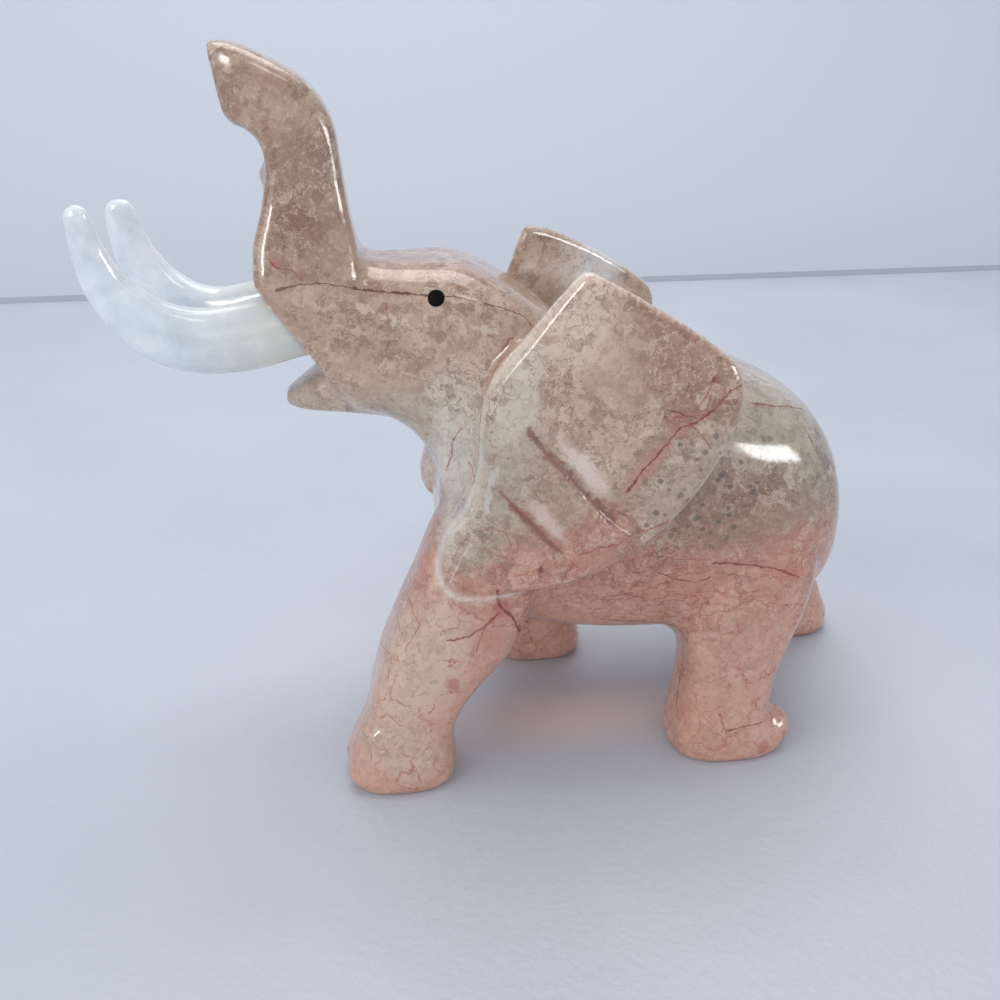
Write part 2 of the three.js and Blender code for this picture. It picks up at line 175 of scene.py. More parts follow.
def head_rings():
    """Rings from the middle of the left side over the outline to the middle of the right side. A ring
    at share r of the way out stands at (1 - r ** power) ** (1 / power) of the half width."""
    angle = np.linspace(0.02, np.pi - 0.02, 61)[:, None]
    r = np.sin(angle) ** (2 / head_power)
    bulge = -np.sign(np.cos(angle)) * np.abs(np.cos(angle)) ** (2 / head_power)
    edge = closed_curve(head_outline)
    x = head_middle[0] * (1 - r) + edge[:, 0] * r
    z = head_middle[1] * (1 - r) + edge[:, 1] * r
    return np.stack([x, head_half_width(x) * bulge, z], -1)


trunk_rows = [
    [-21, 0, 56.5, 90, 7.5, 8.6, 5],
    [-23, 0, 63, 90, 8.6, 9.2, 5],
    [-24.4, 0, 68, 90, 7.9, 9.2, 7],
    [-24.8, 0, 72, 90, 7.1, 8.6, 8],
    [-24.9, 0, 76, 90, 6.6, 7.3, 8],
    [-24.6, 0, 80.5, 90, 5.5, 6, 7],
    [-24.5, 0, 85.5, 92, 4.8, 5.3, 6],
    [-25.1, 0, 89.3, 108, 4.8, 5, 5],
    [-26.9, 0, 92, 134, 4.7, 4.8, 4.2],
    [-29.7, 0, 93.9, 156, 4.5, 4.6, 4],
    [-32.4, 0, 95, 174, 4.7, 4.1, 3.6],
    [-34.5, 0, 95.7, 188, 4.4, 3.1, 3],
]
jaw_rows = [
    [-10, 0, 54.6, 180, 4.5, 7.4, 3],
    [-18, 0, 55.6, 180, 4, 6.9, 3.2],
    [-23, 0, 55.3, 180, 3.3, 5.8, 3],
    [-26.4, 0, 54.4, 180, 2.2, 4.3, 2.8],
    [-29.2, 0, 53.7, 180, 0.9, 2.2, 2.4],
]

# The cheeks are sawn off flat in front, along a plane square to the side view through these places.
cheek_cut_high, cheek_cut_low = np.array([-31.9, 71.6]), np.array([-23, 58.6])


def sawn_cheeks(rings):
    """Rings with every point in front of the cheek plane moved square onto it."""
    along = (cheek_cut_low - cheek_cut_high) / np.linalg.norm(cheek_cut_low - cheek_cut_high)
    forward = np.array([along[1], -along[0]])
    ahead = (rings[..., [0, 2]] - cheek_cut_high) @ forward
    result = rings.copy()
    result[..., [0, 2]] -= np.maximum(ahead, 0)[..., None] * forward
    return result


leg_rows = {
    "front_left": [
        [2.5, -8.4, 47, -90, 3, 3, 2.2],
        [0.6, -9.6, 43, -90, 7, 5.4, 2.5],
        [-1.6, -11.4, 37.5, -90, 8.5, 6.8, 2.8],
        [-3.4, -12.6, 32, -90, 9.2, 7.2, 3],
        [-6, -13.6, 26, -90, 9.5, 7.2, 3.2],
        [-8.6, -14.6, 20.5, -90, 9.4, 6.9, 3.4],
        [-11.6, -15.4, 15.6, -90, 7.9, 6.5, 3.4],
        [-13.7, -15.9, 11.2, -90, 6.8, 6.3, 3.4],
        [-15, -16.2, 7.6, -90, 6.9, 6.6, 3.2],
        [-15.7, -16.4, 4.4, -90, 7.7, 7.3, 3],
        [-15.9, -16.4, 1.6, -90, 7.9, 7.5, 2.9],
        [-15.9, -16.4, 0, -90, 7.2, 6.8, 2.9],
    ],
    "front_right": [
        [3.5, 8.4, 47, -90, 3, 3, 2.2],
        [2.4, 9.6, 43, -90, 7, 5.4, 2.5],
        [1.4, 11.2, 37.5, -90, 8.5, 6.8, 2.8],
        [1.6, 12.2, 32, -90, 9.2, 7.2, 3],
        [2.8, 13, 26, -90, 9.2, 7.2, 3.2],
        [5.2, 13.8, 20.5, -90, 8.5, 6.9, 3.4],
        [7.2, 14.4, 15.6, -90, 7.5, 6.6, 3.4],
        [8.5, 14.8, 11.2, -90, 6.9, 6.4, 3.4],
        [9.1, 15, 7.6, -90, 7, 6.7, 3.2],
        [9.3, 15.1, 4.4, -90, 7.6, 7.3, 3],
        [9.4, 15.1, 1.6, -90, 7.9, 7.5, 2.9],
        [9.4, 15.1, 0, -90, 7.2, 6.8, 2.9],
    ],
    "rear_left": [
        [38, -8.6, 43, -90, 3.5, 4, 2.2],
        [38.2, -10, 38, -90, 7.4, 6.6, 2.5],
        [37.6, -11.6, 31, -90, 9.2, 7.4, 2.8],
        [35.6, -13.3, 24, -90, 9.6, 7.4, 3.2],
        [34.7, -14.2, 19, -90, 8.4, 7, 3.4],
        [34, -15, 14, -90, 7.1, 6.6, 3.4],
        [33.3, -15.6, 9.6, -90, 6.9, 6.5, 3.4],
        [33.1, -16, 6.4, -90, 7.3, 6.7, 3.2],
        [33.5, -16.1, 3.8, -90, 8.2, 7.1, 2.9],
        [34.1, -16.1, 1.6, -90, 9.1, 7.3, 2.7],
        [34, -16.1, 0, -90, 8.4, 6.7, 2.7],
    ],
    "rear_right": [
        [38, 8.6, 43, -90, 3.5, 4, 2.2],
        [39.4, 10, 38, -90, 7.2, 6.6, 2.5],
        [42, 11.4, 31, -90, 8.4, 7.4, 2.8],
        [45.2, 13.3, 24, -90, 8.9, 7.4, 3.2],
        [48.6, 14.2, 19, -90, 8.2, 7, 3.4],
        [51.8, 15, 14, -90, 7.3, 6.6, 3.4],
        [54.2, 15.6, 9.6, -90, 6.9, 6.5, 3.4],
        [55.4, 16, 6.4, -90, 7.1, 6.7, 3.2],
        [56, 16.1, 3.8, -90, 7.7, 7.1, 2.9],
        [56.1, 16.1, 1.6, -90, 7.9, 7.3, 2.7],
        [56.1, 16.1, 0, -90, 7.2, 6.7, 2.7],
    ],
}
tail_rows = [
    [46.6, 0, 47, -58, 1, 1.4, 2],
    [48.9, 0, 44.4, -55, 1.7, 1.8, 2.2],
    [51.4, 0, 39.4, -68, 1.7, 1.6, 2.2],
    [52.7, 0, 33.6, -82, 1.5, 1.4, 2.2],
    [53, 0, 28, -90, 1.4, 1.5, 2.2],
    [52.5, 0, 24, -98, 0.9, 1.1, 2],
]

# Ears: slabs with this side outline, thick where they leave the neck and thin at their free edge.
left, right = -1, 1
ear_middle = np.array([9, 50])
ear_free = [
    [18, 69.8], [26.3, 64.6], [28.8, 62.4], [29.8, 59.4], [29.6, 56], [27, 49.6], [22.3, 42.6],
    [16.5, 37.2], [10, 33.3], [2, 30.8], [-5, 30], [-8.6, 31], [-9.9, 34.2], [-9, 38.4], [-6, 42.8],
    [-4.2, 48], [-3.7, 55], [-2.2, 59.6],
]
ear_front = {
    left: [[2.6, 65.6], [8.8, 73], [10, 73.8], [10.8, 73.6]],
    right: [[3.2, 64], [6.4, 71.6], [7.4, 73.4], [8.6, 73.6]],
}
ear_thickness = 0.0028 / share
ear_profile = [
    [0.02, 0], [0.3, 0], [0.55, 0], [0.8, 0], [0.9, 0.005], [0.94, 0.03], [0.97, 0.1], [0.985, 0.2],
    [0.997, 0.35], [1, 0.5], [0.997, 0.65], [0.985, 0.8], [0.97, 0.9], [0.94, 0.97], [0.8, 1],
    [0.55, 1], [0.3, 1], [0.02, 1],
]


def ear_face(x, z):
    """How far out the face of an ear is: a plane that leans out towards the back and the foot."""
    return 16 + 0.17 * (x + 9) + 0.12 * (61.5 - z)


def ear_rings(side):
    """Rings from the middle of the outer face over the free edge to the middle of the inner face. The
    slab is thicker towards the neck by a bell curve of x."""
    edge = closed_curve(ear_front[side] + ear_free, steps=10)
    part, inward = np.array(ear_profile).T[:, :, None]
    x = ear_middle[0] * (1 - part) + edge[:, 0] * part
    z = ear_middle[1] * (1 - part) + edge[:, 1] * part
    thickness = ear_thickness + 6.5 * np.exp(-((x + 8) / 9) ** 2)
    return np.stack([x, side * (ear_face(x, z) - inward * thickness), z], -1)


# Small swellings left by the carver: toes, heels and a knob on the trunk, as x, y, z and three reaches.
lumps = [
    [-20.6, -19.8, 2.4, 3.4, 3.2, 2.3],
    [-16.8, -20.8, 2.3, 3, 2.5, 2.2],
    [-21.4, -15.2, 2.4, 2.8, 3.6, 2.3],
    [-19.3, -18.4, 9, 2.6, 4, 1.8],
    [40.4, -18.8, 3.4, 3.2, 3.4, 3.3],
    [28.4, -19, 3.4, 3.2, 3.6, 3.2],
    [-28.9, 0, 83.9, 1.5, 2.8, 1.5],
]


def lump_rings(lump):
    """Rings of an ellipsoid about its own middle."""
    x, y, z, long, wide, tall = lump
    rise = np.linspace(-0.49 * np.pi, 0.49 * np.pi, 13)[:, None]
    around = np.linspace(0, 2 * np.pi, 24, endpoint=False)
    return np.stack([
        x + long * np.cos(rise) * np.cos(around),
        y + wide * np.cos(rise) * np.sin(around),
        z + tall * np.sin(rise) * np.ones_like(around),
    ], -1)


def piece_from(name, forms):
    """Object made of closed forms, each given as points and faces, with their faces turned out."""
    points, faces, count = [], [], 0
    for form_points, form_faces in forms:
        points.append(form_points)
        faces += [[corner + count for corner in face] for face in form_faces]
        count += len(form_points)
    mesh = bpy.data.meshes.new(name)
    mesh.from_pydata(np.concatenate(points).tolist(), [], faces)
    turned = bmesh.new()
    turned.from_mesh(mesh)
    bmesh.ops.recalc_face_normals(turned, faces=turned.faces)
    turned.to_mesh(mesh)
    turned.free()
    piece = bpy.data.objects.new(name, mesh)
    bpy.context.scene.collection.objects.link(piece)
    return piece


def finished(piece):
    """Replaces a piece's mesh by what its modifiers make of it, and takes them off."""
    shaped = piece.evaluated_get(bpy.context.evaluated_depsgraph_get())
    mesh = bpy.data.meshes.new_from_object(shaped)
    piece.modifiers.clear()
    rough = piece.data
    piece.data = mesh
    bpy.data.meshes.remove(rough)


def points_of(mesh):
    """The mesh's points as an array of rows."""
    points = np.empty(3 * len(mesh.vertices))
    mesh.vertices.foreach_get("co", points)
    return points.reshape(-1, 3)


def set_points(mesh, points):
    """Moves the mesh's points to these rows."""
    mesh.vertices.foreach_set("co", points.ravel())
    mesh.update()


def edges_of(mesh):
    """The mesh's edges as two arrays of point numbers."""
    edges = np.empty(2 * len(mesh.edges), int)
    mesh.edges.foreach_get("vertices", edges)
    return edges.reshape(-1, 2).T


def normals_of(mesh):
    """The mesh's normals at its points, as an array of rows."""
    normals = np.empty(3 * len(mesh.vertices))
    mesh.vertices.foreach_get("normal", normals)
    return normals.reshape(-1, 3)


def pull(values, edges):
    """For each point, how far its neighbours' mean is from it."""
    first, second = edges
    count = len(values)
    degree = np.bincount(first, minlength=count) + np.bincount(second, minlength=count)
    total = np.stack([
        np.bincount(first, values[second, k], count) + np.bincount(second, values[first, k], count)
        for k in range(values.shape[1])
    ], 1)
    return total / degree[:, None] - values


def within(points, low, high):
    """Which points lie between two corners of a box. Their y is taken as the distance from the middle
    plane, so the box counts on both sides."""
    places = np.stack([points[:, 0], np.abs(points[:, 1]), points[:, 2]], 1)
    return np.all((places > low) & (places < high), 1)


grain_of_form = 0.00062
carving = [
    closed_form(loft(torso_rows)),
    closed_form(sawn_cheeks(head_rings())),
    closed_form(sawn_cheeks(loft(trunk_rows))),
    closed_form(loft(jaw_rows)),
    closed_form(loft(tail_rows, 32)),
    *[closed_form(loft(rows)) for rows in leg_rows.values()],
    *[closed_form(ear_rings(side)) for side in (left, right)],
    *[closed_form(lump_rings(lump)) for lump in lumps],
]
stone = piece_from("stone_body", [(points * share, faces) for points, faces in carving])
fuse = stone.modifiers.new("fuse", "REMESH")
fuse.mode = "VOXEL"
fuse.voxel_size = grain_of_form
finished(stone)

# Polishing: the skin is evened out, and inner corners are ground to a hollow, as felt wheels leave
# them. By the ears only a small share of that grinding is done.
polish_rounds = 12
polish_step, polish_return = 0.5, -0.53
hollow_rounds = 60
hollow_step = 0.5
corner_sharpness = 0.035  # of a grain, above which a hollow counts as an inner corner
corner_rounds, corner_gain = 8, 1.6  # how far the grinding spreads, and how soon it is at full strength
ear_corner = 0.06
ear_corner_place = (-12, 10.5, 29)  # behind and over this place, and further out
stone_edges = edges_of(stone.data)
stone_points = points_of(stone.data)
for step in [polish_step, polish_return] * polish_rounds:
    stone_points = stone_points + step * pull(stone_points, stone_edges)
set_points(stone.data, stone_points)
stone_normals = normals_of(stone.data)
hollow = np.einsum("ij,ij->i", pull(stone_points, stone_edges), stone_normals)[:, None]
corner = np.clip(hollow / (corner_sharpness * grain_of_form) - 1, 0, 1)
for _ in range(corner_rounds):
    corner = np.maximum(corner, corner + pull(corner, stone_edges))
corner = np.clip(corner_gain * corner, 0, 1)
by_ear = within(stone_points / share, ear_corner_place, (np.inf, np.inf, np.inf))
corner = np.where(by_ear[:, None], ear_corner * corner, corner)
for _ in range(hollow_rounds):
    stone_points = stone_points + hollow_step * corner * pull(stone_points, stone_edges)

# Two slanting cuts in each ear, one wall steep and the other shallow, deeper towards their lower end.
ear_cuts = [
    {"start": (2, 54.3), "end": (15.2, 40.4), "width": 4.2, "depth": 0.0015 / share},
    {"start": (-1.8, 45.6), "end": (7.4, 36.3), "width": 3.6, "depth": 0.0012 / share},
]
cut_reach = [0, 0.3, 0.65, 0.93, 1]
cut_size = [0.15, 0.5, 0.8, 1, 0.5]
cut_steep, cut_bottom, cut_shallow = -0.5, -0.12, 1.1  # across the cut, in widths
cut_end_rise = 0.8  # shares past a cut's end over which it runs out
cutter_lift = 0.001 / share
ear_reach = 0.0012 / share
cut_ear_low, cut_ear_high = (-8, 0, 32), (26, np.inf, 62)


def cut_height(x, z, cut):
    """Height of the cutter's V over the ear's face, in shares: its depth at the bottom line, and rising
    straight to the cutter's two upper corners."""
    start, end = np.array(cut["start"]), np.array(cut["end"])
    along = end - start
    length = np.linalg.norm(along)
    part = ((x - start[0]) * along[0] + (z - start[1]) * along[1]) / length ** 2
    offset = ((z - start[1]) * along[0] - (x - start[0]) * along[1]) / length
    size = np.interp(part, cut_reach, cut_size)
    width, depth = cut["width"] * size, cut["depth"] * size
    from_bottom = offset / width - cut_bottom
    wall = np.where(from_bottom < 0, from_bottom / (cut_steep - cut_bottom),
                    from_bottom / (cut_shallow - cut_bottom))
    height = (depth + cutter_lift) * wall - depth
    past = np.maximum(np.abs(part - 0.5) - 0.5, 0) * length
    return height + (depth + cutter_lift) * past / cut_end_rise


x, y, z = (stone_points / share).T
face = ear_face(x, z)
on_ear = (np.abs(y) > face - ear_reach) & within(stone_points / share, cut_ear_low, cut_ear_high)
cut = np.minimum(0, np.minimum(cut_height(x, z, ear_cuts[0]), cut_height(x, z, ear_cuts[1])))
stone_points[:, 1] = np.where(on_ear, np.sign(y) * np.minimum(np.abs(y), face + cut), y) * share

# The thin rim of an ear is painted pale, a painted highlight on its edge and painted light shining
# through it: the rim's share falls off by a bell curve of the distance from the ear's outline. The walls
# of the cuts are left rough, at this depth and more fully so.
rim_reach, rim_depth = 0.38, 2.6
rim_low, rim_high = (-12, 13, 28), (32, np.inf, np.inf)
rough_depth = 0.25
free_edge = closed_curve(ear_front[left] + ear_free, steps=10)
near_ear = within(stone_points / share, rim_low, rim_high)
painted_rim_light = np.zeros(len(x))
from_edge = np.min(np.hypot(
    x[near_ear, None] - free_edge[:, 0],
    z[near_ear, None] - free_edge[:, 1],
), 1)
proud = np.clip(np.abs(y[near_ear]) - face[near_ear] + rim_depth, 0, 1)
painted_rim_light[near_ear] = np.exp(-(from_edge / rim_reach) ** 2) * proud
stone.data.attributes.new("painted_rim_light", "FLOAT", "POINT").data.foreach_set("value", painted_rim_light)
rough_cut = np.where(on_ear, np.clip(-cut / rough_depth, 0, 1), 0)
stone.data.attributes.new("cut", "FLOAT", "POINT").data.foreach_set("value", rough_cut)
stone_points += carving_place
set_points(stone.data, stone_points)
stone.data.shade_smooth()

# Onyx of the body: pinkish taupe, crumbled in places, with grey-green clouds that light enters, brown
# smoke, red stains, rusty cracks and a net of hairlines, and some painted light and shade on the ears.
# Its patterns are given in millimetres.
skin = BVHTree.FromObject(stone, bpy.context.evaluated_depsgraph_get())
millimetre = 0.001


def on_stone(spot):
    """Place in millimetres and normal of the stone that shows at a spot of the camera's picture. For a
    spot just off its edge, the stone nearest to that ray, at the target's distance, is taken."""
    across = (spot[0] - picture_size / 2) / focal_length
    down = (spot[1] - picture_size / 2) / focal_length
    ray = (look + across * camera_right - down * camera_up).normalized()
    place, normal = skin.ray_cast(camera.location, ray)[:2]
    if place is None:
        place, normal = skin.find_nearest(camera.location + camera_distance * ray)[:2]
    return place / millimetre, normal


def knot(tree, kind, *values, settings=None, output=0, **named):
    """Adds a shader node and gives one of its outputs. Values go to its inputs in their order, and
    named ones to the input of that name: a socket is linked, and a number or colour is set."""
    made = tree.nodes.new("ShaderNode" + kind)
    for key, value in (settings or {}).items():
        setattr(made, key, value)
    inputs = list(zip(made.inputs, values))
    inputs += [(made.inputs[key.replace("_", " ")], value) for key, value in named.items()]
    for socket, value in inputs:
        if isinstance(value, bpy.types.NodeSocket):
            tree.links.new(value, socket)
        elif value is not None:
            socket.default_value = value
    return made.outputs[output] if made.outputs else None


def reckon(tree, operation, *values):
    """One operation on numbers."""
    return knot(tree, "Math", *values, settings={"operation": operation})


def reckon_vector(tree, operation, *values):
    """One operation on vectors. A length comes from the second output."""
    output = 1 if operation in ("LENGTH", "DISTANCE", "DOT_PRODUCT") else 0
    return knot(tree, "VectorMath", *values, settings={"operation": operation}, output=output)


def fade(tree, value, start, end, low=0, high=1):
    """Smooth step from low at start to high at end."""
    settings = {"interpolation_type": "SMOOTHSTEP"}
    return knot(tree, "MapRange", value, start, end, low, high, settings=settings)


def tint(tree, factor, under, over, mode="MIX"):
    """Colour over another colour by a factor."""
    made = tree.nodes.new("ShaderNodeMix")
    made.data_type = "RGBA"
    made.blend_type = mode
    for socket, value in zip((made.inputs[0], made.inputs[6], made.inputs[7]), (factor, under, over)):
        if isinstance(value, bpy.types.NodeSocket):
            tree.links.new(value, socket)
        else:
            socket.default_value = value
    return made.outputs[2]


def cloud(tree, place, reach, detail=2, roughness=0.5, output=0):
    """Noise from 0 to 1 with features of this many millimetres."""
    return knot(tree, "TexNoise", output=output, Vector=place, Scale=1 / reach, Detail=detail,
                Roughness=roughness)


def warped(tree, place, reach, strength, detail=1):
    """Places moved up to half this strength each way by noise."""
    drift = cloud(tree, place, reach, detail, output=1)
    centred = reckon_vector(tree, "SUBTRACT", drift, (0.5, 0.5, 0.5))
    scaled = knot(tree, "VectorMath", centred, settings={"operation": "SCALE"}, Scale=strength)
    return reckon_vector(tree, "ADD", place, scaled)


def fresh_material(name):
    """New material, its empty node tree and the place on the object in millimetres."""
    material = bpy.data.materials.new(name)
    material.use_nodes = True
    tree = material.node_tree
    tree.nodes.clear()
    object_place = knot(tree, "TexCoord", output=3)
    place = knot(tree, "VectorMath", object_place, settings={"operation": "SCALE"}, Scale=1 / millimetre)
    return material, tree, place


def zone(tree, place, spots, reach, soft=0.55):
    """1 inside an ellipsoid that reaches this many millimetres round the line between two spots of the
    picture, fading to 0 at its skin from a share of the way out. The part of a place's distance that
    lies along that line counts reach / (reach + half the line)."""
    first, last = on_stone(spots[0])[0], on_stone(spots[-1])[0]
    local = reckon_vector(tree, "SUBTRACT", place, (first + last) / 2)
    if len(spots) > 1:
        along = (last - first).normalized()
        spare = 1 - reach / (reach + (last - first).length / 2)
        forward = reckon_vector(tree, "DOT_PRODUCT", local, along)
        spared = knot(tree, "VectorMath", along * spare, settings={"operation": "SCALE"}, Scale=forward)
        local = reckon_vector(tree, "SUBTRACT", local, spared)
    return fade(tree, reckon_vector(tree, "LENGTH", local), reach, reach * soft)


def crack(tree, place, spots):
    """How far each place is, in millimetres, from a crack through spots of the picture. The crack is a
    crumpled sheet square to the skin: u runs from its first spot to its last, and v, square to u along
    the skin, keeps to a curve of u. Outside the ball round its middle that holds both ends, the
    distance grows by the way out of that ball."""
    places = [on_stone(spot) for spot in spots]
    first, last = places[0][0], places[-1][0]
    length = (last - first).length
    along = (last - first) / length
    inward = sum((normal for _, normal in places), Vector())
    across = (inward - inward.dot(along) * along).normalized().cross(along)
    start = first - 0.5 * length * across
    local = reckon_vector(tree, "SUBTRACT", place, start)
    u = reckon_vector(tree, "DOT_PRODUCT", local, along / length)
    v = reckon_vector(tree, "DOT_PRODUCT", local, across / length)
    line = tree.nodes.new("ShaderNodeFloatCurve")
    points = line.mapping.curves[0].points
    flat = [((spot - start).dot(along) / length, (spot - start).dot(across) / length)
            for spot, _ in places]
    points[0].location, points[1].location = flat[0], flat[-1]
    for corner in flat[1:-1]:
        points.new(*corner)
    for corner in points:
        corner.handle_type = "VECTOR"
    line.mapping.update()
    tree.links.new(u, line.inputs["Value"])
    beside = reckon(tree, "ABSOLUTE", reckon(tree, "SUBTRACT", v, line.outputs[0]))
    from_middle = reckon_vector(tree, "DISTANCE", place, (first + last) / 2)
    out = reckon(tree, "SUBTRACT", from_middle, length / 2)
    return reckon(tree, "MULTIPLY_ADD", beside, length, reckon(tree, "MAXIMUM", out, 0))


onyx, tree, place = fresh_material("onyx")
loose = warped(tree, place, 14, 12, 2)
drifting = warped(tree, place, 9, 6, 2)
crinkled = warped(tree, place, 1.8, 2.2, 2)

# Layers of the block, from the feet up: pink, red-brown, brown smoke, grey-green, taupe in the head.
layer_bottom, layer_top = 0, 100
layers = [
    (0, (0.70, 0.42, 0.345)),
    (20, (0.62, 0.355, 0.29)),
    (34, (0.62, 0.305, 0.24)),
    (44, (0.46, 0.30, 0.235)),
    (55, (0.46, 0.39, 0.33)),
    (66, (0.54, 0.49, 0.43)),
    (76, (0.58, 0.45, 0.375)),
    (100, (0.47, 0.34, 0.275)),
]
rise = tree.nodes.new("ShaderNodeSeparateXYZ")
tree.links.new(loose, rise.inputs[0])
ramp = tree.nodes.new("ShaderNodeValToRGB")
for corner, (level, shade) in zip([ramp.color_ramp.elements[0], ramp.color_ramp.elements[1]],
                                  (layers[0], layers[-1])):
    corner.position = level / layer_top
    corner.color = (*shade, 1)
for level, shade in layers[1:-1]:
    ramp.color_ramp.elements.new(level / layer_top).color = (*shade, 1)
tree.links.new(fade(tree, rise.outputs[2], layer_bottom, layer_top), ramp.inputs[0])
colour = ramp.outputs[0]

# Clouds: spots of the picture, reach in millimetres, colour and strength.
grey_green, milky, smoke = (0.50, 0.42, 0.36, 1), (0.74, 0.72, 0.66, 1), (0.36, 0.245, 0.185, 1)
rust, blood = (0.50, 0.21, 0.13, 1), (0.22, 0.035, 0.025, 1)
taupe, milky_with_painted_sheen = (0.56, 0.42, 0.345, 1), (0.92, 0.95, 0.97, 1)
clouds = [
    (((640, 330), (600, 420)), 20, taupe, 0.8),
    (((600, 296), (565, 335)), 9, (0.76, 0.65, 0.57, 1), 0.85),
    (((720, 380), (660, 330)), 11, (0.40, 0.22, 0.165, 1), 0.85),
    (((690, 455), (655, 520)), 7, grey_green, 0.8),
    (((780, 400), (800, 460)), 14, (0.47, 0.46, 0.40, 1), 0.75),
    (((766, 382), (796, 396)), 8, (0.66, 0.66, 0.62, 1), 0.7),
    (((520, 360), (505, 430)), 6, milky, 0.75),
    (((460, 560), (490, 500)), 7, (0.50, 0.47, 0.41, 1), 0.75),
    (((455, 430), (445, 540)), 8, milky, 0.85),
    (((430, 258), (500, 270)), 5, (0.48, 0.44, 0.39, 1), 0.7),
    # Painted reflection and light shining through the far ear, over its milky stone.
    (((588, 262), (636, 262)), 11, milky_with_painted_sheen, 0.95),
    (((770, 505), (690, 520)), 11, smoke, 0.8),
    (((540, 560), (625, 525)), 6, (0.56, 0.28, 0.225, 1), 0.75),
    (((380, 745), (420, 755)), 7, (0.66, 0.57, 0.50, 1), 0.6),
    (((428, 470), (430, 475)), 4, milky, 0.9),
    (((435, 620), (400, 700)), 10, (0.76, 0.62, 0.56, 1), 0.75),
    (((640, 585), (760, 590)), 8, (0.60, 0.28, 0.21, 1), 0.7),
    (((700, 715), (705, 745)), 7, (0.66, 0.36, 0.28, 1), 0.6),
    (((255, 60), (300, 100)), 7, (0.58, 0.47, 0.40, 1), 0.6),
    (((300, 150), (308, 205)), 8, (0.35, 0.205, 0.155, 1), 0.85),
    (((452, 392), (470, 420)), 6, milky, 0.75),
    (((528, 238), (536, 276)), 5, (0.66, 0.55, 0.47, 1), 0.8),
    (((262, 95), (268, 110)), 6, (0.50, 0.30, 0.24, 1), 0.7),
]
for spots, reach, shade, strength in clouds:
    covered = zone(tree, drifting, spots, reach, 0.4)
    colour = tint(tree, reckon(tree, "MULTIPLY", covered, strength), colour, shade)

# Crumbs: the stone was once crushed. Its flakes, about a millimetre across, differ a little in tone,
# and pale and dark threads curl round them.
flake_reach = 1.8
flakes = knot(tree, "TexVoronoi", Vector=crinkled, Scale=1 / flake_reach)
flake_tone = knot(tree, "SeparateColor", flakes.node.outputs["Color"])
crumbled = reckon(tree, "MULTIPLY", fade(tree, cloud(tree, place, 9, 3), 0.36, 0.58, 0.35, 1),
                  fade(tree, rise.outputs[2], 24, 46, 0.4, 1))


def threads(tree, place, reach, width, detail=3):
    """Fine curling lines, where noise with features of this reach passes its middle value."""
    from_middle = reckon(tree, "SUBTRACT", cloud(tree, place, reach, detail, 0.6), 0.5)
    return fade(tree, reckon(tree, "ABSOLUTE", from_middle), width, 0)


dark_paste, pale_flake = (0.22, 0.115, 0.085, 1), (0.80, 0.70, 0.62, 1)
for covered, strength, shade in [
    (fade(tree, flake_tone, 0.5, 0.05), 0.45, dark_paste),
    (fade(tree, flake_tone, 0.6, 1), 0.4, pale_flake),
    (threads(tree, crinkled, 2.8, 0.032), 0.6, dark_paste),
    (threads(tree, drifting, 2.4, 0.024), 0.5, pale_flake),
]:
    covered = reckon(tree, "MULTIPLY", reckon(tree, "MULTIPLY", covered, crumbled), strength)
    colour = tint(tree, covered, colour, shade)
mottle = cloud(tree, place, 1.1, 5, 0.75)
colour = tint(tree, fade(tree, mottle, 0.5, 0.72, 0, 0.42), colour, (0.24, 0.13, 0.095, 1))
colour = tint(tree, fade(tree, mottle, 0.5, 0.28, 0, 0.3), colour, (0.80, 0.71, 0.64, 1))

# Streaks: dark red threads that run along the belly, the haunch and the leg below it.
drawn_out = reckon_vector(tree, "MULTIPLY", crinkled, (0.3, 1, 1))
streaked = reckon(tree, "MULTIPLY", threads(tree, drawn_out, 2.8, 0.035), zone(
    tree, drifting, ((560, 600), (790, 590)), 9, 0.4))
colour = tint(tree, reckon(tree, "MULTIPLY", streaked, 0.6), colour, (0.30, 0.085, 0.055, 1))

# The wax over the stone warms every colour a little.
colour = tint(tree, 1.0, colour, (0.98, 0.9, 0.81, 1), "MULTIPLY")

# Pits: dark oval pores in the clear stone of the ear and the flank.
pore_reach = 1.8
pores = knot(tree, "TexVoronoi", Vector=warped(tree, place, 1.5, 0.7), Scale=1 / pore_reach)
porous = reckon(tree, "MAXIMUM", zone(tree, drifting, ((705, 440), (645, 525)), 7),
                zone(tree, drifting, ((765, 455), (690, 540)), 7))
pitted = reckon(tree, "MULTIPLY", fade(tree, pores, 0.34, 0.2), porous)
colour = tint(tree, reckon(tree, "MULTIPLY", pitted, 0.75), colour, (0.15, 0.12, 0.10, 1))
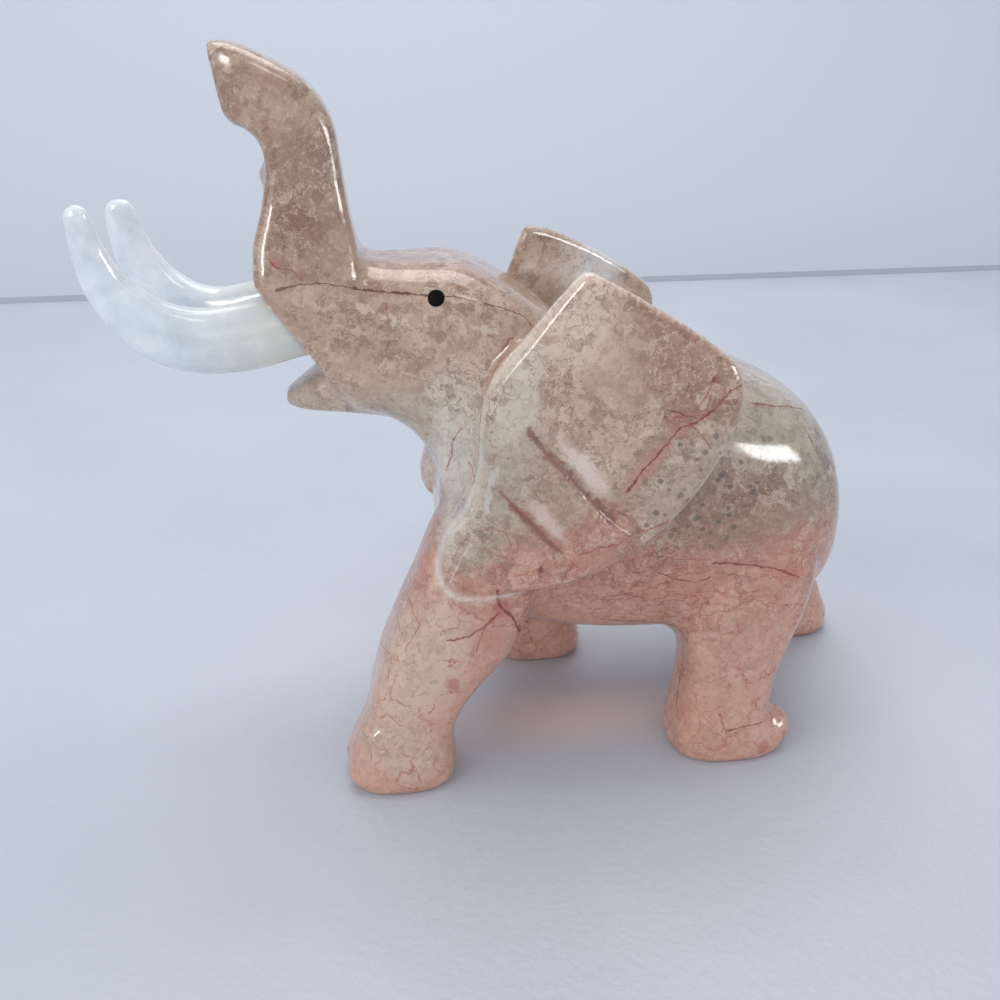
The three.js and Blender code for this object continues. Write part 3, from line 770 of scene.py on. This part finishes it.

# Stains: red and orange spots of iron, and pale places. The first is painted reflection and light
# shining through the far ear, over its milky stone; the third and fourth are painted light on the lit
# shallow walls of the near ear's cuts.
stains = [
    # Painted reflection and light shining through the far ear, over its milky stone.
    (((606, 256), (634, 264)), 8, (0.82, 0.90, 0.95, 1), 0.8),
    (((452, 430), (447, 500)), 5, (0.74, 0.71, 0.66, 1), 0.5),
    # Painted light: the lit shallow walls of the near ear's cuts.
    (((556, 436), (612, 502)), 2.2, (0.84, 0.69, 0.61, 1), 0.8),
    (((528, 500), (566, 543)), 1.8, (0.80, 0.63, 0.55, 1), 0.7),
    (((681, 427),), 3.0, (0.40, 0.12, 0.08, 1), 0.5),
    (((668, 443), (627, 492)), 2.4, (0.56, 0.23, 0.17, 1), 0.5),
    (((715, 381),), 0.8, blood, 0.95),
    (((543, 569),), 0.9, blood, 0.85),
    (((465, 585),), 2.0, rust, 0.5),
    (((497, 592),), 1.6, rust, 0.5),
    (((503, 608),), 2.4, (0.42, 0.09, 0.06, 1), 0.75),
    (((490, 640),), 4.0, (0.58, 0.25, 0.19, 1), 0.5),
    (((453, 684),), 1.5, (0.46, 0.12, 0.08, 1), 0.6),
    (((505, 345), (492, 378)), 2.2, (0.50, 0.28, 0.20, 1), 0.5),
    (((774, 570), (800, 574)), 2.2, (0.56, 0.21, 0.14, 1), 0.6),
    (((735, 563),), 2.0, (0.54, 0.23, 0.17, 1), 0.45),
    (((276, 262),), 1.0, (0.56, 0.22, 0.16, 1), 0.6),
    (((763, 748),), 1.8, (0.46, 0.13, 0.09, 1), 0.6),
    (((431, 291),), 0.3, (0.02, 0.015, 0.012, 1), 0.9),
]
for spots, reach, shade, strength in stains:
    covered = zone(tree, crinkled, spots, reach, 0.3)
    colour = tint(tree, reckon(tree, "MULTIPLY", covered, strength), colour, shade)

# Cracks: spots of the picture along each, its half width in millimetres, the reach of its halo, its
# colour and the strengths of line and halo. The last ones are no cracks: first the dark steep walls of
# the near ear's cuts, painted shade together with some dirt in their rough stone, then painted
# highlights at the cuts' lower ends and on the bevels of that ear's lower tip and front edge. Wear makes
# every crack thin in places.
brown, red, dim_red = (0.11, 0.035, 0.018, 1), (0.21, 0.022, 0.012, 1), (0.32, 0.065, 0.04, 1)
painted_highlight, rusty = (0.95, 0.93, 0.90, 1), (0.50, 0.22, 0.165, 1)
cracks = [
    (((275, 291), (297, 285), (322, 283), (350, 288), (383, 292), (413, 294), (429, 296)),
     0.24, 0.9, brown, 0.9, 0.25),
    (((444, 296), (458, 297), (485, 304), (511, 311), (526, 317), (541, 326)),
     0.2, 0.8, brown, 0.85, 0.25),
    (((268, 258), (275, 268), (292, 270), (301, 281)), 0.17, 0.7, dim_red, 0.8, 0.25),
    (((386, 303), (388, 325), (389, 350)), 0.13, 0.5, dim_red, 0.6, 0.2),
    (((514, 336), (503, 350), (494, 372), (485, 395)), 0.16, 0.8, (0.30, 0.085, 0.05, 1), 0.7, 0.3),
    (((487, 334), (498, 340), (510, 338)), 0.13, 0.5, dim_red, 0.7, 0.2),
    (((483, 398), (480, 430), (478, 462), (472, 486)), 0.24, 0.7, brown, 0.9, 0.25),
    (((468, 462), (473, 474), (477, 484)), 0.15, 0.5, dim_red, 0.8, 0.2),
    (((446, 470), (452, 455), (452, 442), (461, 428)), 0.15, 0.5, dim_red, 0.75, 0.2),
    (((743, 384), (731, 390), (715, 409), (697, 422), (681, 427)), 0.19, 0.9, red, 0.85, 0.3),
    (((681, 427), (668, 443), (655, 458), (642, 471), (627, 492)), 0.24, 1.2, red, 0.9, 0.4),
    (((668, 409), (684, 415), (697, 418)), 0.15, 0.6, red, 0.8, 0.3),
    (((664, 417), (684, 417), (706, 414)), 0.13, 0.5, dim_red, 0.7, 0.2),
    (((712, 383), (706, 398), (694, 412)), 0.12, 0.5, dim_red, 0.7, 0.3),
    (((692, 426), (703, 436), (711, 449)), 0.13, 0.6, dim_red, 0.7, 0.3),
    (((579, 556), (600, 548), (616, 545), (635, 534), (669, 521)), 0.14, 0.7, dim_red, 0.75, 0.3),
    (((556, 590), (563, 578), (570, 568)), 0.12, 0.5, dim_red, 0.7, 0.2),
    (((484, 528), (505, 532), (512, 545)), 0.13, 0.6, dim_red, 0.6, 0.3),
    (((713, 563), (746, 564), (774, 568), (799, 577)), 0.26, 1.1, red, 0.9, 0.4),
    (((751, 403), (774, 406), (793, 407), (806, 411)), 0.19, 0.8, red, 0.85, 0.3),
    (((657, 572), (676, 579), (695, 583), (710, 577)), 0.16, 0.7, red, 0.8, 0.3),
    (((604, 597), (628, 594), (655, 601)), 0.13, 0.6, dim_red, 0.7, 0.25),
    (((700, 560), (650, 556), (620, 562)), 0.12, 0.6, dim_red, 0.6, 0.25),
    (((600, 619), (640, 621), (668, 624), (684, 636)), 0.18, 0.9, red, 0.85, 0.35),
    (((497, 590), (500, 606), (512, 616), (526, 621)), 0.42, 1.3, red, 0.9, 0.5),
    (((500, 612), (485, 626), (468, 637), (448, 641)), 0.24, 1.0, red, 0.85, 0.4),
    (((485, 627), (480, 640), (476, 652)), 0.15, 0.8, dim_red, 0.75, 0.3),
    (((720, 714), (723, 724), (726, 734)), 0.2, 0.8, red, 0.75, 0.3),
    (((726, 731), (742, 727), (762, 722)), 0.22, 0.7, red, 0.85, 0.3),
    (((683, 646), (680, 675), (676, 705)), 0.24, 1.0, dim_red, 0.8, 0.35),
    (((380, 640), (392, 655), (388, 680)), 0.13, 0.6, dim_red, 0.7, 0.3),
    (((410, 600), (420, 625), (405, 650)), 0.13, 0.6, dim_red, 0.65, 0.3),
    # Painted shade with some dirt: the dark steep walls of the near ear's cuts, on the near ear only.
    (((528, 430), (545, 452), (566, 476), (592, 502), (614, 524)),
     0.6, 1.4, (0.20, 0.075, 0.055, 1), 0.7, 0.4),
    (((548, 456), (566, 476), (592, 502), (612, 522)), 1.3, 1.9, (0.24, 0.09, 0.065, 1), 0.6, 0.35),
    (((500, 492), (520, 513), (541, 535), (562, 553)), 0.5, 1.2, (0.22, 0.085, 0.06, 1), 0.6, 0.4),
    (((512, 504), (526, 518), (541, 535), (558, 550)), 1.1, 1.6, (0.26, 0.10, 0.075, 1), 0.5, 0.35),
    # Painted highlights: white lines at the cuts' lower ends and on the bevels of the near ear's lower
    # tip and front edge.
    (((600, 511), (614, 524), (630, 534)), 0.18, 0.5, painted_highlight, 0.6, 0.1),
    (((471, 545), (462, 556), (450, 582)), 0.22, 0.9, painted_highlight, 0.35, 0.05),
    (((497, 468), (489, 487), (487, 512)), 0.9, 1.6, (0.84, 0.82, 0.78, 1), 0.4, 0.05),
]
ragged = warped(tree, place, 0.9, 0.7, 3)
worn = fade(tree, cloud(tree, place, 1.7, 3, 0.6), 0.36, 0.62, 0.65, 1.9)
for spots, half_width, halo, shade, line_strength, halo_strength in cracks:
    away = reckon(tree, "MULTIPLY", crack(tree, ragged, spots), worn)
    near = fade(tree, away, halo, 0, 0, halo_strength)
    colour = tint(tree, near, colour, rusty)
    line = fade(tree, away, half_width, half_width / 3, 0, line_strength)
    colour = tint(tree, line, colour, shade)

# Hairlines: a net of fine red cracks, thickest in the legs and the belly.
net_reach = 4.8
net = knot(tree, "TexVoronoi", Vector=warped(tree, place, 3, 4.5, 3), Scale=1 / net_reach,
           settings={"feature": "DISTANCE_TO_EDGE"})
low_down = fade(tree, rise.outputs[2], 52, 34, 0.2, 1)
broken = fade(tree, cloud(tree, place, 6, 3), 0.44, 0.54)
here = reckon(tree, "MULTIPLY", broken, low_down)
hairline = reckon(tree, "MULTIPLY", fade(tree, net, 0.03, 0.006), here)
colour = tint(tree, reckon(tree, "MULTIPLY", hairline, 0.65), colour, (0.44, 0.11, 0.065, 1))

# The ears' rims are painted pale: a painted highlight on their edges and painted light shining through
# them.
painted_rim_share = knot(tree, "Attribute", settings={"attribute_name": "painted_rim_light"}, output=2)
colour = tint(tree, reckon(tree, "MULTIPLY", painted_rim_share, 0.7), colour, (0.88, 0.82, 0.75, 1))

# Polish: bright, with the slow waves of hand grinding and fine pinholes.
wave_height, grain_height = 0.10, 0.014  # millimetres
waves = reckon(tree, "MULTIPLY", cloud(tree, place, 6, 2), wave_height)
grain = reckon(tree, "MULTIPLY", cloud(tree, place, 0.5, 3, 0.6), grain_height)
bump = knot(tree, "Bump", Height=reckon(tree, "ADD", waves, grain), Distance=millimetre, Strength=1)
gloss = fade(tree, cloud(tree, place, 3, 4, 0.6), 0.3, 0.8, 0.1, 0.22)
rough_cut = knot(tree, "Attribute", settings={"attribute_name": "cut"}, output=2)
gloss = reckon(tree, "MULTIPLY_ADD", rough_cut, 0.5, gloss)
wax = fade(tree, rough_cut, 0, 0.6, 0.35, 0)
shader = knot(
    tree, "BsdfPrincipled", Base_Color=colour, Roughness=gloss, Normal=bump, IOR=1.55,
    Subsurface_Weight=0.3, Subsurface_Radius=(1, 0.6, 0.45), Subsurface_Scale=0.0022,
    Coat_Weight=wax, Coat_Roughness=0.06,
)
knot(tree, "OutputMaterial", shader)
stone.data.materials.append(onyx)
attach(stone, "root")
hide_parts("body")

# Tusks: two curved horns of milky white stone, each with a peg that is glued into a socket in the
# sawn cheeks. They rise and spread a little towards their rounded tips.
tusk_height, tusk_width, tusk_spacing = 0.0104, 0.007, 0.0116
tusk_socket = 0.0045
peg_size, peg_rise = 0.9, 0.2  # share of the tusk's size at the cheek, and hundredths of the height
tusk_power = 2.3
tusk_line = {
    left: [
        [-26.8, 0, 65.6, 186, 1],
        [-33, 0.4, 64.2, 183, 1.01],
        [-38.8, 1.1, 63.9, 170, 0.96],
        [-43.8, 1.8, 65.4, 152, 0.88],
        [-47.6, 2.4, 68.6, 133, 0.75],
        [-50, 2.9, 72.4, 117, 0.6],
        [-51.2, 3.3, 76.4, 106, 0.46],
        [-51.7, 3.7, 80.3, 96, 0.35],
        [-51.75, 3.7, 81.3, 94, 0.28],
        [-51.75, 3.7, 81.8, 92, 0.17],
        [-51.75, 3.7, 82, 92, 0.04],
    ],
    right: [
        [-26.8, 0, 65.6, 186, 1],
        [-33, 0.4, 64.2, 183, 1.01],
        [-38.2, 1.1, 63.7, 170, 0.96],
        [-42.6, 1.8, 65, 152, 0.88],
        [-46.1, 2.4, 68, 133, 0.76],
        [-48.3, 2.9, 71.4, 117, 0.65],
        [-49.5, 3.3, 74.8, 106, 0.55],
        [-50.1, 3.7, 78, 97, 0.45],
        [-50.2, 3.7, 79.1, 95, 0.37],
        [-50.2, 3.7, 79.7, 93, 0.23],
        [-50.2, 3.7, 79.9, 93, 0.05],
    ],
}


def tusk_rows(side):
    """Rows of a tusk's loft: its hidden peg, and its line with the sizes at the cheek times its share.
    The right tusk is a little shorter and blunter."""
    tall, wide, middle = (size / 2 / share for size in (tusk_height, tusk_width, tusk_spacing))
    rows = [[x, side * (middle + out), z, turn, tall * size, wide * size, tusk_power]
            for x, out, z, turn, size in tusk_line[side]]
    x, y, z, turn = rows[0][:4]
    peg = [x + tusk_socket / share, y, z + peg_rise, turn, tall * peg_size, wide * peg_size, tusk_power]
    return [peg, *rows]


# Milky stone: clouded white that light enters, a little yellow-green towards the cheek.
milk, tree, place = fresh_material("milky stone")
across = tree.nodes.new("ShaderNodeSeparateXYZ")
tree.links.new(place, across.inputs[0])
root_end, tip_end = -36, -56  # millimetres along the figure
tip_white, root_yellow = (0.80, 0.85, 0.90, 1), (0.76, 0.76, 0.68, 1)
colour = tint(tree, fade(tree, across.outputs[0], tip_end, root_end), tip_white, root_yellow)
veiled = cloud(tree, warped(tree, place, 6, 6, 2), 5, 4, 0.6)
colour = tint(tree, fade(tree, veiled, 0.4, 0.7, 0, 0.6), colour, (0.62, 0.67, 0.70, 1))
colour = tint(tree, fade(tree, veiled, 0.45, 0.25, 0, 0.7), colour, (0.93, 0.95, 0.96, 1))
bump = knot(tree, "Bump", Height=reckon(tree, "MULTIPLY", cloud(tree, place, 5, 2), 0.12),
            Distance=millimetre, Strength=1)
gloss = fade(tree, cloud(tree, place, 3, 3), 0.3, 0.8, 0.08, 0.2)
shader = knot(
    tree, "BsdfPrincipled", Base_Color=colour, Roughness=gloss, Normal=bump, IOR=1.5,
    Subsurface_Weight=0.8, Subsurface_Radius=(1, 0.95, 0.9), Subsurface_Scale=0.004,
    Coat_Weight=0.3, Coat_Roughness=0.05,
)
knot(tree, "OutputMaterial", shader)

for side, name in ((left, "left"), (right, "right")):
    rings = loft(tusk_rows(side), 64) * share + carving_place
    tusk = piece_from(f"stone_tusk_{name}", [closed_form(rings)])
    tusk.data.shade_smooth()
    tusk.data.materials.append(milk)
    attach(tusk, "root")
    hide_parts(f"tusk_{name}")

# Eyes: short black pins, pressed into drilled holes and ground almost flush with the cheeks. Their
# faces are dull and a little dusty, so they show as flat black dots.
jet, tree, place = fresh_material("black inlay")
dust = fade(tree, cloud(tree, place, 0.35, 3), 0.55, 0.8)
colour = tint(tree, dust, (0.002, 0.002, 0.002, 1), (0.008, 0.007, 0.007, 1))
gloss = fade(tree, dust, 0, 1, 0.5, 0.7)
shader = knot(tree, "BsdfPrincipled", Base_Color=colour, Roughness=gloss, IOR=1.15)
knot(tree, "OutputMaterial", shader)
eye_spot = (436, 298)
eye_radius, eye_depth = 0.0013, 0.0022
eye_profile = [
    [0.02, -eye_depth], [1, -eye_depth], [1, -0.0001], [0.97, 0],
    [0.85, 0.00005], [0.5, 0.0001], [0.02, 0.00012],
]


def eye_rings(middle, outward):
    """Rings of a pin about the line from its middle outwards, at the profile's shares of its radius."""
    first = outward.orthogonal().normalized()
    second = outward.cross(first)
    reach, rise = (np.array(eye_profile) * [eye_radius, 1]).T[:, :, None, None]
    around = np.linspace(0, 2 * np.pi, 48, endpoint=False)[None, :, None]
    turned = np.cos(around) * np.array(first) + np.sin(around) * np.array(second)
    return np.array(middle) + reach * turned + rise * np.array(outward)


eye_middle, eye_outward = on_stone(eye_spot)
eye_middle *= millimetre
for side, name in ((left, "left"), (right, "right")):
    beside = carving_place[1] - side * (eye_middle.y - carving_place[1])
    middle = Vector((eye_middle.x, beside, eye_middle.z))
    outward = Vector((eye_outward.x, -side * eye_outward.y, eye_outward.z)).normalized()
    eye = piece_from(f"stone_eye_{name}", [closed_form(eye_rings(middle, outward))])
    eye.data.shade_smooth()
    eye.data.materials.append(jet)
    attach(eye, "root")
    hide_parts(f"eye_{name}")

# Floor and wall: a pale table top that ends behind the figure with an edge painted grey as its shade,
# and a plain wall beyond it. The floor under the belly is painted a little warm: painted light, standing
# in for light that comes down through the stone into the shadow there.
table_front, table_back, table_side = -1, 0.32, 2.0
wall_gap, wall_foot, wall_height = 0.25, -0.4, 1.2
edge_height = 0.0028
paper, tree, place = fresh_material("pale table")
shaded_paper, plain_paper = (0.56, 0.59, 0.65, 1), (0.60, 0.63, 0.69, 1)
painted_warm_light = (0.95, 0.75, 0.69, 1)
glow_middle, glow_long, glow_wide = (8, -9, 0), 34, 13  # millimetres
colour = tint(tree, fade(tree, cloud(tree, place, 60, 2), 0.3, 0.7), shaded_paper, plain_paper)
# Painted warm light on the floor under the belly.
under_belly = reckon_vector(tree, "SUBTRACT", place, glow_middle)
under_belly = reckon_vector(tree, "MULTIPLY", under_belly, (1 / glow_long, 1 / glow_wide, 0))
glow = fade(tree, reckon_vector(tree, "LENGTH", under_belly), 1, 0, 0, 0.7)
colour = tint(tree, glow, colour, painted_warm_light)
bump = knot(tree, "Bump", Height=reckon(tree, "MULTIPLY", cloud(tree, place, 1.5, 3), 0.15),
            Distance=millimetre, Strength=1)
shader = knot(tree, "BsdfPrincipled", Base_Color=colour, Roughness=0.45, Normal=bump)
knot(tree, "OutputMaterial", shader)


def plain_paint(name, colour):
    """Dull material of one colour, for the studio."""
    paint = bpy.data.materials.new(name)
    paint.use_nodes = True
    shader = paint.node_tree.nodes["Principled BSDF"]
    shader.inputs["Base Color"].default_value = colour
    shader.inputs["Roughness"].default_value = 0.9
    return paint


def sheet_of(name, corners, material):
    """Four-cornered flat piece of the studio."""
    mesh = bpy.data.meshes.new(name)
    mesh.from_pydata(corners, [], [(0, 1, 2, 3)])
    mesh.materials.append(material)
    piece = bpy.data.objects.new(name, mesh)
    bpy.context.scene.collection.objects.link(piece)
    return piece


table = sheet_of("table", [
    (-table_side, table_front, 0), (table_side, table_front, 0),
    (table_side, table_back, 0), (-table_side, table_back, 0),
], paper)
wall_back = table_back + wall_gap
wall = sheet_of("wall", [
    (-table_side, wall_back, wall_foot), (table_side, wall_back, wall_foot),
    (table_side, wall_back, wall_height), (-table_side, wall_back, wall_height),
], plain_paint("pale wall", (0.81, 0.84, 0.92, 1)))
# A strip along the table's back edge, painted darker grey as painted shade.
edge = sheet_of("edge", [
    (-table_side, table_back, 0), (table_side, table_back, 0),
    (table_side, table_back, edge_height), (-table_side, table_back, edge_height),
], plain_paint("shaded table edge", (0.52, 0.55, 0.61, 1)))

# Light: a soft sky all round, a broad soft lamp above and behind the figure, one before its face and
# a low one in front. Two windows and a ceiling lamp show only as reflections.
world = bpy.data.worlds.new("sky")
world.use_nodes = True
world.node_tree.nodes["Background"].inputs["Color"].default_value = (0.88, 0.93, 1, 1)
world.node_tree.nodes["Background"].inputs["Strength"].default_value = 0.6
bpy.context.scene.world = world
figure_middle = Vector((0, 0, 0.05))


def window(name, place, width, height, power, only_shine=False):
    """Rectangular area light that faces the figure's middle."""
    data = bpy.data.lights.new(name, "AREA")
    data.shape = "RECTANGLE"
    data.size, data.size_y = width, height
    data.energy = power
    light = bpy.data.objects.new(name, data)
    light.location = place
    light.rotation_euler = (figure_middle - Vector(place)).to_track_quat("-Z", "Y").to_euler()
    light.visible_diffuse = not only_shine
    bpy.context.scene.collection.objects.link(light)


window("overhead", (0.02, 0.2, 0.62), 0.45, 0.45, 1.9)
window("before the face", (-0.45, -0.3, 0.35), 0.4, 0.4, 0.8)
window("low in front", (0.05, -0.55, 0.12), 0.6, 0.2, 0.3)
window("left window", (-0.34, -0.39, 0.35), 0.12, 0.24, 1.0, only_shine=True)
window("right window", (0.46, -0.345, 0.23), 0.26, 0.12, 1.2, only_shine=True)
window("ceiling lamp", (0.1, -0.3, 0.52), 0.2, 0.08, 0.2, only_shine=True)
bpy.context.scene.view_settings.view_transform = "Standard"
